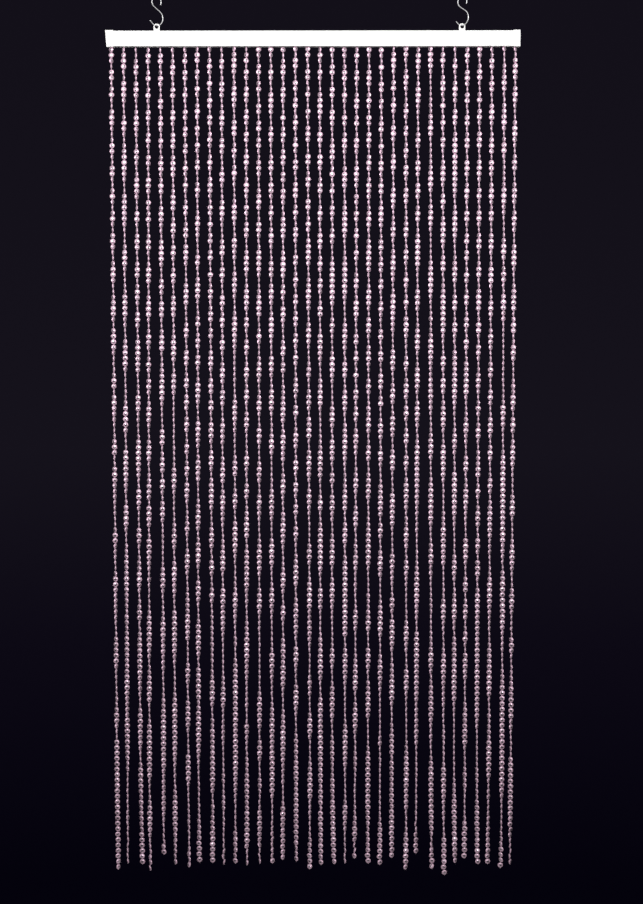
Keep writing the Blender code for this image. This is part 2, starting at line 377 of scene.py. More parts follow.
@dataclass(frozen=True)
class Finish:
    """A surface: its two tones, the run of its roughness and grain, and its gloss."""

    name: str
    tone: Color
    worn_tone: Color
    smoothest: float
    roughest: float
    grain_scale: float
    stretch: Point = (1.0, 1.0, 1.0)
    bump: float = 0.1
    bump_depth: float = 0.0001
    metallic: float = 0.0
    coat: float = 0.0
    coat_roughness: float = 0.1
    ior: float = 1.46

    def material(self) -> Material:
        """Build the material once and return it."""
        found = bpy.data.materials.get(self.name)
        return found if found else self.build()

    def build(self) -> Material:
        """Build the material from the grain group and a Principled shader.

        Returns:
            The material.
        """
        made = bpy.data.materials.new(self.name)
        made.use_nodes = True
        made.diffuse_color = (*self.tone, 1.0)
        nodes = Nodes(made.node_tree)
        shader = made.node_tree.nodes["Principled BSDF"]
        shader.inputs["Metallic"].default_value = self.metallic
        shader.inputs["IOR"].default_value = self.ior
        shader.inputs["Coat Weight"].default_value = self.coat
        shader.inputs["Coat Roughness"].default_value = self.coat_roughness
        grain = self.grain(nodes)
        self.wire_surface(nodes, grain, shader)
        bump = nodes.add("Bump")
        bump.inputs["Strength"].default_value = self.bump
        bump.inputs["Distance"].default_value = self.bump_depth
        nodes.wire(grain.outputs["Height"], bump.inputs["Height"])
        nodes.wire(bump.outputs["Normal"], shader.inputs["Normal"])
        return made

    def grain(self, nodes: Nodes) -> bpy.types.Node:
        """Place the grain group with this finish's values.

        Args:
            nodes: the material's nodes.

        Returns:
            The group node.
        """
        group = nodes.add("Group", node_tree=SurfaceGrain.tree())
        nodes.feed(group.inputs["Tone"], self.tone)
        nodes.feed(group.inputs["Worn Tone"], self.worn_tone)
        nodes.feed(group.inputs["Scale"], self.grain_scale)
        nodes.feed(group.inputs["Stretch"], self.stretch)
        nodes.feed(group.inputs["Smoothest"], self.smoothest)
        nodes.feed(group.inputs["Roughest"], self.roughest)
        return group

    def wire_surface(self, nodes: Nodes, grain: bpy.types.Node, shader: bpy.types.Node) -> None:
        """Wire what varies over the surface: here its colour and roughness.

        Args:
            nodes: the material's nodes.
            grain: the grain group's node.
            shader: the Principled shader.
        """
        nodes.wire(grain.outputs["Color"], shader.inputs["Base Color"])
        nodes.wire(grain.outputs["Roughness"], shader.inputs["Roughness"])


@dataclass(frozen=True)
class PearlFinish(Finish):
    """Pearly plastic: a mirror-like heart at each table, pale bevels, and discs that differ a little."""

    heart_tone: Color = (0.74, 0.62, 0.70)
    cool_tone: Color = (0.84, 0.66, 0.82)
    heart_metallic: float = 0.92
    heart_roughness: float = 0.16
    rim_metallic: float = 0.32
    variation: float = 0.16
    sheen_share: float = 0.20
    sheen_blend: float = 0.4
    heart_reach: float = 0.45

    def wire_surface(self, nodes: Nodes, grain: bpy.types.Node, shader: bpy.types.Node) -> None:
        """Mix heart and bevels by the discs' own attributes.

        Args:
            nodes: the material's nodes.
            grain: the grain group's node.
            shader: the Principled shader.
        """
        rim = nodes.add("Attribute", attribute_name=DiscShape.RIM)
        tone = nodes.add("Attribute", attribute_name=DiscShape.TONE)
        # From the heart at 0 to the plain bevel beyond the heart's reach
        bevel = nodes.spread(nodes.math("DIVIDE", rim.outputs["Fac"], self.heart_reach), 0.0, 1.0)
        shaded = nodes.mix(bevel, self.heart_tone, grain.outputs["Color"])
        level = nodes.spread(tone.outputs["Fac"], 1.0 - self.variation, 1.0 + self.variation)
        grey = nodes.add("CombineColor")
        for channel in grey.inputs[:3]:
            nodes.wire(level, channel)
        varied = nodes.mix(1.0, shaded, grey.outputs[0], blend="MULTIPLY")
        facing = nodes.add("LayerWeight")
        facing.inputs["Blend"].default_value = self.sheen_blend
        sheen = nodes.math("MULTIPLY", facing.outputs["Facing"], self.sheen_share)
        nodes.wire(nodes.mix(sheen, varied, self.cool_tone), shader.inputs["Base Color"])
        nodes.wire(nodes.spread(bevel, self.heart_metallic, self.rim_metallic), shader.inputs["Metallic"])
        rough = nodes.mix_numbers(bevel, self.heart_roughness, grain.outputs["Roughness"])
        nodes.wire(rough, shader.inputs["Roughness"])


RAIL_PLASTIC = Finish(
    name="extruded_white_plastic",
    tone=(0.82, 0.82, 0.81),
    worn_tone=(0.76, 0.76, 0.74),
    smoothest=0.24,
    roughest=0.42,
    grain_scale=60.0,
    stretch=(0.04, 1.0, 1.0),
    bump=0.25,
    bump_depth=0.00008,
    coat=0.2,
    coat_roughness=0.2,
)
MOULDED_PLASTIC = Finish(
    name="moulded_white_plastic",
    tone=(0.82, 0.82, 0.81),
    worn_tone=(0.76, 0.75, 0.73),
    smoothest=0.26,
    roughest=0.44,
    grain_scale=90.0,
    bump=0.3,
    bump_depth=0.0001,
    coat=0.15,
    coat_roughness=0.2,
)
DRAWN_ZINC = Finish(
    name="drawn_zinc_wire",
    tone=(0.90, 0.90, 0.90),
    worn_tone=(0.78, 0.79, 0.80),
    smoothest=0.34,
    roughest=0.52,
    grain_scale=320.0,
    bump=0.2,
    bump_depth=0.00005,
    metallic=0.7,
)
PEARL = PearlFinish(
    name="pink_pearl_plastic",
    tone=(0.96, 0.63, 0.79),
    worn_tone=(0.98, 0.70, 0.85),
    smoothest=0.22,
    roughest=0.36,
    grain_scale=240.0,
    bump=0.12,
    bump_depth=0.00005,
    coat=0.35,
    coat_roughness=0.12,
    ior=1.5,
)
NYLON = Finish(
    name="nylon_thread",
    tone=(0.72, 0.56, 0.64),
    worn_tone=(0.62, 0.46, 0.54),
    smoothest=0.30,
    roughest=0.50,
    grain_scale=600.0,
    bump=0.2,
    bump_depth=0.00005,
)
PALE_FLOOR = Finish(
    name="pale_floor",
    tone=(0.74, 0.73, 0.72),
    worn_tone=(0.68, 0.67, 0.66),
    smoothest=0.55,
    roughest=0.75,
    grain_scale=6.0,
    bump=0.1,
    bump_depth=0.0005,
)


@dataclass
class DiscShape:
    """One faceted disc bead, strung through its edge.

    Both faces are alike: a flat table, a ring of star facets, main bevels and rim facets, down to a
    thin girdle. Its own axes are across, along the thread, and out of the face.
    """

    RIM = "bead_rim"
    TONE = "bead_tone"

    width: float = 0.0115
    height: float = 0.0115
    thickness: float = 0.0040
    girdle: float = 0.0010
    table_share: float = 0.40
    star_share: float = 0.66
    sides: int = 8
    heart_rim: float = 0.0
    star_rim: float = 0.55

    def template(self) -> Tuple[np.ndarray, List[List[int]], np.ndarray]:
        """Build one disc at the origin.

        Returns:
            The vertices as (across, along, out), the faces as lists of vertices, and how near each
            vertex lies to the rim.
        """
        half = self.thickness / 2
        radius = self.width / 2
        step = 2 * math.pi / self.sides
        table = radius * self.table_share
        star = radius * self.star_share
        fall = (half - self.girdle / 2) / (radius - table)
        # The star's points lie in the planes of the two main bevels beside them
        star_out = half - fall * (star * math.cos(step / 2) - table)

        points: List[Point] = []
        rims: List[float] = []
        faces: List[List[int]] = []
        girdles: List[List[int]] = []
        for out in (1.0, -1.0):
            rings = (
                (self.sides, table, 0.0, half, self.heart_rim),
                (self.sides, star, step / 2, star_out, self.star_rim),
                (2 * self.sides, radius, 0.0, self.girdle / 2, 1.0),
            )
            made: List[List[int]] = []
            for count, ring_radius, turn, height, rim in rings:
                first = len(points)
                for corner in range(count):
                    angle = turn + 2 * math.pi * corner / count
                    across = ring_radius * math.cos(angle)
                    along = ring_radius * math.sin(angle)
                    points.append((across, along, out * height))
                    rims.append(rim)
                made.append(list(range(first, first + count)))
            girdles.append(made[2])
            faces += self.crown(*made, flip=out < 0)
        upper, lower = girdles
        for corner in range(2 * self.sides):
            after = (corner + 1) % (2 * self.sides)
            faces.append([upper[corner], lower[corner], lower[after], upper[after]])

        shape = np.array(points)
        shape[:, 1] *= self.height / self.width
        return shape, faces, np.array(rims)

    def crown(self, table: List[int], star: List[int], girdle: List[int], flip: bool) -> List[List[int]]:
        """List the facets of one face of the disc.

        Args:
            table: the table's corners.
            star: the star's outer points, between the table's corners.
            girdle: the girdle's corners, two for each side.
            flip: whether the facets are turned over, for the back.

        Returns:
            The facets, as lists of vertices.
        """
        facets = [list(table)]
        for side in range(self.sides):
            after = (side + 1) % self.sides
            before = (side - 1) % self.sides
            corner = girdle[2 * side]
            middle = girdle[2 * side + 1]
            last = girdle[(2 * side + 2) % (2 * self.sides)]
            facets.append([table[after], table[side], star[side]])
            facets.append([table[side], star[before], corner, star[side]])
            facets.append([star[side], corner, middle])
            facets.append([star[side], middle, last])
        return [facet[::-1] for facet in facets] if flip else facets


@dataclass(frozen=True)
class Hang:
    """How one strand differs from a plain one: beads more or fewer, and its lean in metres."""

    more_beads: int = 0
    lean: float = 0.0
    curl: float = 0.0


@dataclass
class BeadStrands:
    """All the strands: where each disc hangs and how it is turned, and their threads.

    The strand count, the turns and the leans are those of the solid strands, which the discs fill.
    """

    strands: int = 34
    first_strand: float = -0.4367
    strand_pitch: float = 0.02653
    last_strand_shift: float = -0.0027
    beads: int = 148
    pitch: float = 0.012125
    first_drop: float = 0.0061
    seed: int = 4100
    turn_at_top: float = 44.0
    turn_at_bottom: float = 5.0
    turn_spread: float = 0.2
    turn_jitter: float = 10.0
    turn_drift: float = 7.0
    drift_kept: float = 0.7
    curl_from: float = 0.85
    depth_lean: float = 0.0022
    depth_curl: float = 0.003
    start_spread: float = 0.0007
    pitch_spread: float = 0.0010
    thread: float = 0.0011
    thread_sides: int = 6
    thread_smoothing: float = math.radians(70)
    knot: float = 0.0018
    knot_tuck: float = 0.0006
    knot_neck: float = 0.6
    knot_rings: Tuple[float, ...] = (-1.0, -0.6, 0.0, 0.6, 0.95)
    tilt_at_top: float = 2.0
    tilt_at_bottom: float = 4.0
    lean_share: float = 0.7
    loose_beads: int = 11
    loose_tilt: float = 15.0
    loose_shift: float = 0.0007
    shift: float = 0.00015
    sway: float = 0.6
    sway_spread: float = 0.4
    tone_middle: float = 0.5
    tone_spread: float = 0.22
    disc: DiscShape = field(default_factory=DiscShape)
    uneven: Dict[int, Hang] = field(default_factory=lambda: {
        1: Hang(1, 0.0014, 0.0016),
        2: Hang(0, -0.0020, 0.0),
        3: Hang(0, 0.0008, 0.0028),
        4: Hang(1, -0.0070, 0.0020),
        5: Hang(-2, -0.0014, -0.0010),
        6: Hang(0, -0.0032, 0.0),
        7: Hang(1, 0.0, 0.0012),
        8: Hang(0, -0.0038, 0.0016),
        9: Hang(0, 0.0010, -0.0012),
        10: Hang(0, -0.0022, 0.0008),
        11: Hang(0, -0.0014, -0.0010),
        12: Hang(0, -0.0030, 0.0006),
        13: Hang(0, -0.0012, -0.0006),
        15: Hang(-1, -0.0026, -0.0008),
        17: Hang(1, 0.0050, -0.0014),
        18: Hang(0, 0.0012, 0.0006),
        19: Hang(0, 0.0004, 0.0040),
        20: Hang(0, 0.0030, -0.0012),
        21: Hang(-1, -0.0022, -0.0014),
        24: Hang(-1, -0.0008, 0.0008),
        25: Hang(1, 0.0062, -0.0016),
        26: Hang(-2, 0.0008, -0.0008),
        27: Hang(1, 0.0078, 0.0012),
        28: Hang(2, 0.0092, 0.0006),
        29: Hang(0, 0.0052, 0.0026),
        30: Hang(-1, 0.0022, 0.0),
        31: Hang(0, 0.0024, 0.0022),
        32: Hang(0, 0.0022, -0.0016),
        33: Hang(1, 0.0052, -0.0016),
    })

    def __post_init__(self) -> None:
        """Read the rail's underside and the strip's from the frame."""
        self.rail_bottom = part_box("rail")[0].z
        self.strip_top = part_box("strands")[1].z

    def hang(self, number: int) -> Hang:
        """Return how the strand of that number hangs."""
        return self.uneven.get(number, Hang())

    def count(self, number: int) -> int:
        """Return how many discs the strand has."""
        return self.beads + self.hang(number).more_beads

    def turns(self, number: int) -> np.ndarray:
        """Each disc's angle about the thread: steps shorten down the strand and vary at random.

        Args:
            number: the strand, from 1 at the left.

        Returns:
            The angles in radians, from the top down.
        """
        count = self.count(number)
        rng = random.Random(self.seed + number)
        angle = rng.uniform(0.0, 180.0)
        own_rate = 1.0 + rng.gauss(0.0, self.turn_spread)
        drift = 0.0
        turns = []
        for bead in range(count):
            turns.append(math.radians(angle))
            share = bead / (count - 1)
            drift = self.drift_kept * drift + rng.gauss(0.0, self.turn_drift)
            step = own_rate * (self.turn_at_top + (self.turn_at_bottom - self.turn_at_top) * share)
            angle += step + drift + rng.gauss(0.0, self.turn_jitter)
        return np.array(turns)

    def centres(self, number: int) -> np.ndarray:
        """The middle of each disc, from the top down, along the strand's lean and curl.

        Args:
            number: the strand, from 1 at the left.

        Returns:
            One row for each disc.
        """
        hang = self.hang(number)
        rng = random.Random(-self.seed - number)
        depth_lean = rng.gauss(0.0, self.depth_lean)
        depth_curl = rng.gauss(0.0, self.depth_curl)
        x = self.first_strand + self.strand_pitch * (number - 1)
        if number == self.strands:
            x += self.last_strand_shift
        top = self.rail_bottom - self.first_drop + rng.gauss(0.0, self.start_spread)
        pitch = self.pitch * (1.0 + rng.gauss(0.0, self.pitch_spread))
        bead = np.arange(self.count(number))
        share = bead / (self.beads - 1)
        curl = np.maximum(0.0, (share - self.curl_from) / (1.0 - self.curl_from)) ** 2
        return np.stack((
            x + hang.lean * share + hang.curl * curl,
            depth_lean * share + depth_curl * curl,
            top - pitch * bead,
        ), axis=1)

    def looseness(self, number: int) -> Tuple[np.ndarray, np.ndarray]:
        """How far each disc may tip and shift: little at the top, most near the free end.

        Args:
            number: the strand.

        Returns:
            The tips in radians and the shifts in metres.
        """
        count = self.count(number)
        share = np.arange(count) / (count - 1)
        to_end = np.clip(1.0 - (count - 1 - np.arange(count)) / self.loose_beads, 0.0, 1.0)
        tips = self.tilt_at_top + (self.tilt_at_bottom - self.tilt_at_top) * share
        tips = np.radians(tips + (self.loose_tilt - self.tilt_at_bottom) * to_end)
        return tips, self.shift + (self.loose_shift - self.shift) * to_end

    def axes(self, number: int, rng: np.random.Generator) -> np.ndarray:
        """The three axes of each disc, tipped at random from its turn about the thread.

        Args:
            number: the strand.
            rng: the source of chance for the strand's discs.

        Returns:
            A matrix for each disc, its rows the across, along and outward axes.
        """
        turns = self.turns(number)
        tips, _ = self.looseness(number)
        flat = np.zeros_like(turns)
        across = np.stack((np.cos(turns), np.sin(turns), flat), axis=1)
        out = np.stack((np.sin(turns), -np.cos(turns), flat), axis=1)
        along = np.tile((0.0, 0.0, 1.0), (len(turns), 1))
        # Tip about the face's own axis, then lean forward or back
        roll = (rng.normal(size=len(turns)) * tips)[:, None]
        lean = (rng.normal(size=len(turns)) * tips * self.lean_share)[:, None]
        across, along = (
            across * np.cos(roll) + along * np.sin(roll),
            along * np.cos(roll) - across * np.sin(roll),
        )
        along, out = (
            along * np.cos(lean) + out * np.sin(lean),
            out * np.cos(lean) - along * np.sin(lean),
        )
        return np.stack((across, along, out), axis=1)

    def places(self, number: int) -> np.ndarray:
        """The discs' centres with the zigzag of the loose ones added.

        Args:
            number: the strand.

        Returns:
            One row for each disc.
        """
        rng = np.random.default_rng([self.seed, number])
        centres = self.centres(number)
        _, shifts = self.looseness(number)
        zigzag = np.where(np.arange(len(centres)) % 2, 1.0, -1.0)
        sway = zigzag * rng.normal(self.sway, self.sway_spread, size=len(centres))
        centres[:, 0] += shifts * sway
        centres[:, 1] += shifts * rng.normal(size=len(centres))
        return centres

    def strand_mesh(self, number: int) -> Mesh:
        """Join all the discs of one strand into a mesh.

        Args:
            number: the strand.

        Returns:
            The mesh, with the rim and tone of each point.
        """
        rng = np.random.default_rng(self.seed + number)
        shape, faces, rims = self.disc.template()
        axes = self.axes(number, rng)
        places = self.places(number)
        points = np.einsum("vi,bij->bvj", shape, axes) + places[:, None, :]
        count = len(places)
        corners = np.array([corner for face in faces for corner in face])
        sizes = np.array([len(face) for face in faces])
        shifted = corners[None, :] + (np.arange(count) * len(shape))[:, None]
        mesh = mesh_from_arrays(
            f"strand_{number:02d}", points.reshape(-1, 3), np.tile(sizes, count), shifted.ravel(),
        )
        tones = np.clip(rng.normal(self.tone_middle, self.tone_spread, size=count), 0.0, 1.0)
        store(mesh, DiscShape.RIM, np.tile(rims, count))
        store(mesh, DiscShape.TONE, np.repeat(tones, len(shape)))
        return mesh

    def thread_rings(self, number: int) -> List[Tuple[np.ndarray, float]]:
        """The middle and radius of each ring of a thread, from the strip to the knot.

        Args:
            number: the strand.

        Returns:
            Rings from the top down, the last few the knot.
        """
        places = self.places(number)
        top = np.array((places[0][0], places[0][1], self.strip_top))
        radius = self.thread / 2
        rings = [(top, radius)] + [(place, radius) for place in places]
        below = places[-1] - np.array((0.0, 0.0, self.disc.height / 2 + self.knot / 2 - self.knot_tuck))
        for share in self.knot_rings:
            middle = below - np.array((0.0, 0.0, share * self.knot / 2))
            swell = math.sqrt(max(0.0, 1.0 - share * share)) * self.knot / 2
            rings.append((middle, max(radius * self.knot_neck, swell)))
        return rings

    def thread_mesh(self) -> Mesh:
        """Join the threads and their end knots into one mesh.

        Returns:
            The mesh, closed at both ends of each thread.
        """
        sides = self.thread_sides
        angles = np.arange(sides) * 2 * math.pi / sides
        circle = np.stack((np.cos(angles), np.sin(angles), np.zeros(sides)), axis=1)
        points: List[np.ndarray] = []
        sizes: List[int] = []
        corners: List[int] = []
        for number in range(1, self.strands + 1):
            rings = self.thread_rings(number)
            first = sum(len(block) for block in points)
            points += [middle + circle * radius for middle, radius in rings]
            for ring in range(len(rings) - 1):
                upper = first + ring * sides
                for side in range(sides):
                    after = (side + 1) % sides
                    corners += [upper + after, upper + side, upper + sides + side, upper + sides + after]
                    sizes.append(4)
            last = first + (len(rings) - 1) * sides
            corners += list(range(first, first + sides))
            corners += list(range(last + sides - 1, last - 1, -1))
            sizes += [sides, sides]
        return mesh_from_arrays("threads", np.concatenate(points), np.array(sizes), np.array(corners))

    def build(self) -> None:
        """Add a piece for each strand of discs and one for the threads."""
        pearl = PEARL.material()
        for number in range(1, self.strands + 1):
            mesh = self.strand_mesh(number)
            mesh.materials.append(pearl)
            add_piece(mesh.name, mesh, ("strands",))
        threads = self.thread_mesh()
        smooth(threads, self.thread_smoothing)
        threads.materials.append(NYLON.material())
        add_piece("threads", threads, ("strands",))


@dataclass
class HeaderRail:
    """The white channel, its caps, and the strip inside it that holds the threads."""

    strip_half_length: float = 0.4408
    strip_width: float = 0.0184
    strip_height: float = 0.002
    strip_rib: float = 0.0006
    strip_rib_width: float = 0.0016
    rounding: float = 0.0002
    rounding_steps: int = 2
    smoothing: float = math.radians(40)

    def dress(self, nodes: Dict[str, Object]) -> None:
        """Give the rail and the end caps their plastic.

        Args:
            nodes: the frame's nodes by name.
        """
        finishes = {
            "rail": RAIL_PLASTIC,
            "end_cap_left": MOULDED_PLASTIC,
            "end_cap_right": MOULDED_PLASTIC,
        }
        for name, finish in finishes.items():
            mesh = nodes[name].data
            mesh.materials.clear()
            mesh.materials.append(finish.material())
            LOG.info("%s: dressed in %s", name, finish.name)

    def strip_outline(self) -> List[Tuple[float, float]]:
        """The strip's section as (across, up): flat below, with a low rib along each edge.

        Returns:
            The section's corners, from the strip's underside.
        """
        half = self.strip_width / 2
        inner = half - self.strip_rib_width
        floor = self.strip_height - self.strip_rib
        return [
            (-half, 0.0),
            (half, 0.0),
            (half, self.strip_height),
            (inner, self.strip_height),
            (inner, floor),
            (-inner, floor),
            (-inner, self.strip_height),
            (-half, self.strip_height),
        ]

    def build(self) -> None:
        """Add the strip that the threads are knotted into."""
        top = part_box("strands")[1].z
        bottom = top - self.strip_height
        bm = bmesh.new()
        ends = []
        for x in (-self.strip_half_length, self.strip_half_length):
            ends.append([bm.verts.new((x, y, bottom + z)) for y, z in self.strip_outline()])
        count = len(ends[0])
        for corner in range(count):
            after = (corner + 1) % count
            bm.faces.new((ends[0][corner], ends[0][after], ends[1][after], ends[1][corner]))
        bm.faces.new(ends[0][::-1])
        bm.faces.new(ends[1])
        bmesh.ops.recalc_face_normals(bm, faces=bm.faces)
        round_edges(bm, bm.edges[:], self.rounding, self.rounding_steps)
        mesh = bpy.data.meshes.new("root_strip")
        bm.to_mesh(mesh)
        bm.free()
        smooth(mesh, self.smoothing)
        mesh.materials.append(MOULDED_PLASTIC.material())
        add_piece("root_strip", mesh, ("strands",))


@dataclass
class HangerTab:
    """One hanger: a round-topped blade with a round eye and rounded edges, on a foot inside the rail."""

    side: Side
    width: float = 0.0136
    thickness: float = 0.0016
    eye_height: float = 0.0096
    eye_radius: float = 0.0042
    foot_height: float = 0.0015
    foot_drop: float = 0.0018
    arc_steps: int = 40
    rounding: float = 0.00035
    rounding_steps: int = 3
    sharp_angle: float = math.radians(45)
    smoothing: float = math.radians(35)

    @property
    def node(self) -> str:
        """The node this hanger replaces."""
        return "hanger_" + self.side.value

    def outline(self, place: float, rail_top: float) -> List[Tuple[float, float]]:
        """The blade's outline as (x, z): straight sides, a half round on top.

        Args:
            place: the blade's middle along the rail.
            rail_top: the height of the rail's top.

        Returns:
            The corners, anticlockwise from the front.
        """
        radius = self.width / 2
        foot = rail_top - self.foot_drop - self.foot_height / 2
        points = [(place - radius, foot), (place + radius, foot)]
        for step in range(self.arc_steps + 1):
            angle = math.pi * step / self.arc_steps
            points.append((
                place + radius * math.cos(angle),
                rail_top + self.eye_height + radius * math.sin(angle),
            ))
        return points

    def build(self) -> None:
        """Add the hanger as one piece, with rounded edges."""
        low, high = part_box(self.node)
        place = (low.x + high.x) / 2
        rail_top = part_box("rail")[1].z
        bm = bmesh.new()
        self.add_blade(bm, place, rail_top)
        self.add_foot(bm, low, high, rail_top)
        mesh = bpy.data.meshes.new(self.node + "_fine")
        bm.to_mesh(mesh)
        bm.free()
        smooth(mesh, self.smoothing)
        mesh.materials.append(MOULDED_PLASTIC.material())
        add_piece(self.node + "_fine", mesh, (self.node,))

    def add_blade(self, bm: BMesh, place: float, rail_top: float) -> None:
        """Add the blade with its eye and bevelled edges.

        Args:
            bm: the mesh to add to.
            place: the blade's middle along the rail.
            rail_top: the height of the rail's top.
        """
        front = -self.thickness / 2
        edges = []
        circle = []
        for step in range(self.arc_steps):
            angle = 2 * math.pi * step / self.arc_steps
            circle.append((
                place + self.eye_radius * math.cos(angle),
                rail_top + self.eye_height + self.eye_radius * math.sin(angle),
            ))
        for loop in (self.outline(place, rail_top), circle):
            verts = [bm.verts.new((x, front, z)) for x, z in loop]
            edges += [bm.edges.new((verts[i - 1], verts[i])) for i in range(len(verts))]
        filled = bmesh.ops.triangle_fill(bm, use_beauty=True, edges=edges)
        faces = [item for item in filled["geom"] if isinstance(item, bmesh.types.BMFace)]
        swept = bmesh.ops.extrude_face_region(bm, geom=faces)
        moved = [item for item in swept["geom"] if isinstance(item, bmesh.types.BMVert)]
        bmesh.ops.translate(bm, verts=moved, vec=(0.0, self.thickness, 0.0))
        bmesh.ops.recalc_face_normals(bm, faces=bm.faces)
        self.bevel_sharp(bm, bm.edges)

    def add_foot(self, bm: BMesh, low: Vector, high: Vector, rail_top: float) -> None:
        """Add the foot that bears against the rail's top wall from inside.

        Args:
            bm: the mesh to add to.
            low: the node's lowest corner.
            high: the node's highest corner.
            rail_top: the height of the rail's top.
        """
        size = Vector((high.x - low.x, high.y - low.y, self.foot_height))
        height = rail_top - self.foot_drop - size.z / 2
        middle = Vector(((low.x + high.x) / 2, (low.y + high.y) / 2, height))
        made = bmesh.ops.create_cube(bm, size=1.0)["verts"]
        for vert in made:
            vert.co = Vector((vert.co.x * size.x, vert.co.y * size.y, vert.co.z * size.z)) + middle
        self.bevel_sharp(bm, {edge for vert in made for edge in vert.link_edges})

    def bevel_sharp(self, bm: BMesh, edges: Edges) -> None:
        """Round the edges where two faces meet at more than the sharp angle.

        Args:
            bm: the mesh.
            edges: the edges to look at.
        """
        sharp = [edge for edge in edges if edge.is_manifold and edge.calc_face_angle() > self.sharp_angle]
        round_edges(bm, sharp, self.rounding, self.rounding_steps)


@dataclass
class WireHook:
    """One S-hook of round wire: lower bow through the eye, upper bow over what holds the curtain."""

    side: Side
    wire: float = 0.0020
    lower_bow: float = 0.0165
    upper_bow: float = 0.012
    bow_spacing: float = 0.034
    lower_start: float = math.radians(-45)
    lower_tail: float = 0.006
    upper_end: float = math.radians(-25)
    turn: float = math.radians(40)
    arc_step: float = math.radians(5)
    sides: int = 16
    straight_steps: int = 4
    tip_rings: int = 4
    tip_shortfall: float = 0.3
    smoothing: float = math.radians(60)

    @property
    def node(self) -> str:
        """The node this hook replaces."""
        return "hook_" + self.side.value

    def arc(self, centre: float, radius: float, start: float, end: float) -> List[Tuple[float, float]]:
        """Points round a circle in the hook's plane.

        Args:
            centre: the circle's height.
            radius: its radius.
            start: the first angle.
            end: the last angle.

        Returns:
            The points as (across, up), both ends included.
        """
        steps = round(abs(end - start) / self.arc_step)
        angles = [start + (end - start) * step / steps for step in range(steps + 1)]
        return [(radius * math.cos(angle), centre + radius * math.sin(angle)) for angle in angles]

    def path(self) -> np.ndarray:
        """The wire's centre line in its own plane, from the lower bow's lowest point.

        Returns:
            Rows of (across, up).
        """
        lean = math.asin((self.lower_bow + self.upper_bow) / self.bow_spacing)
        first = self.lower_start - math.pi / 2
        lower = self.arc(self.lower_bow, self.lower_bow, first, lean)
        upper = self.arc(self.lower_bow + self.bow_spacing, self.upper_bow, math.pi + lean, self.upper_end)
        along = (math.sin(first), -math.cos(first))
        start = lower[0]
        shares = [step / self.straight_steps for step in range(1, self.straight_steps + 1)]
        tail = [
            (start[0] + along[0] * self.lower_tail * share, start[1] + along[1] * self.lower_tail * share)
            for share in reversed(shares)
        ]
        bridge = [
            (
                lower[-1][0] + (upper[0][0] - lower[-1][0]) * share,
                lower[-1][1] + (upper[0][1] - lower[-1][1]) * share,
            )
            for share in shares[:-1]
        ]
        return np.array(tail + lower + bridge + upper)

    def rings(self) -> List[Tuple[np.ndarray, np.ndarray, float]]:
        """The middle, direction and radius of each ring of wire, the two tips rounded.

        Returns:
            Rings from the lower tip to the upper one.
        """
        path = self.path()
        ways = np.gradient(path, axis=0)
        ways /= np.linalg.norm(ways, axis=1)[:, None]
        radius = self.wire / 2
        rings = [(point, way, radius) for point, way in zip(path, ways)]
        starts = []
        ends = []
        for ring in range(1, self.tip_rings + 1):
            # The last ring stops short of the pole, so that it keeps a width
            angle = math.pi / 2 * ring / (self.tip_rings + self.tip_shortfall)
            reach = radius * math.sin(angle)
            small = radius * math.cos(angle)
            starts.insert(0, (path[0] - ways[0] * reach, ways[0], small))
            ends.append((path[-1] + ways[-1] * reach, ways[-1], small))
        return starts + rings + ends

    def build(self) -> None:
        """Add the hook as one smooth tube."""
        across_x = math.cos(self.turn)
        across_y = -self.side.sign * math.sin(self.turn)
        across = np.array((across_x, across_y, 0.0))
        out = np.array((across_y, -across_x, 0.0))
        up = np.array((0.0, 0.0, 1.0))
        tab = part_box("hanger_" + self.side.value)
        origin = np.array(((tab[0].x + tab[1].x) / 2, 0.0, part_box(self.node)[0].z + self.wire / 2))
        angles = np.arange(self.sides) * 2 * math.pi / self.sides
        points = []
        for middle, way, radius in self.rings():
            centre = origin + across * middle[0] + up * middle[1]
            normal = -across * way[1] + up * way[0]
            circle = np.cos(angles)[:, None] * normal + np.sin(angles)[:, None] * out
            points.append(centre + radius * circle)
        corners = []
        count = len(points)
        for ring in range(count - 1):
            for side in range(self.sides):
                after = (side + 1) % self.sides
                first = ring * self.sides
                second = first + self.sides
                corners += [first + side, first + after, second + after, second + side]
        sizes = [4] * ((count - 1) * self.sides) + [self.sides, self.sides]
        corners += list(range(self.sides - 1, -1, -1))
        corners += list(range((count - 1) * self.sides, count * self.sides))
        mesh = mesh_from_arrays(
            self.node + "_fine", np.concatenate(points), np.array(sizes), np.array(corners),
        )
        smooth(mesh, self.smoothing)
        mesh.materials.append(DRAWN_ZINC.material())
        add_piece(self.node + "_fine", mesh, (self.node,))


@dataclass(frozen=True)
class Softbox:
    """One soft studio light: a rectangle that faces a point."""

    name: str
    place: Point
    aim: Point
    width: float
    height: float
    power: float
    color: Color = (1.0, 1.0, 1.0)
    spread: float = math.pi

    def build(self) -> None:
        """Add the light, unseen by the camera."""
        data = bpy.data.lights.new(self.name, "AREA")
        data.shape = "RECTANGLE"
        data.size = self.width
        data.size_y = self.height
        data.energy = self.power
        data.color = self.color
        data.spread = self.spread
        lamp = link(self.name, data)
        lamp.location = self.place
        way = Vector(self.aim) - Vector(self.place)
        lamp.rotation_euler = way.to_track_quat("-Z", "Y").to_euler()
        lamp.visible_camera = False
        LOG.info("%s: %.0f W", self.name, self.power)


@dataclass(frozen=True)
class SlopeTone:
    """The surroundings' colour at one slope, from -1 straight down to 1 straight up."""

    slope: float
    color: Color


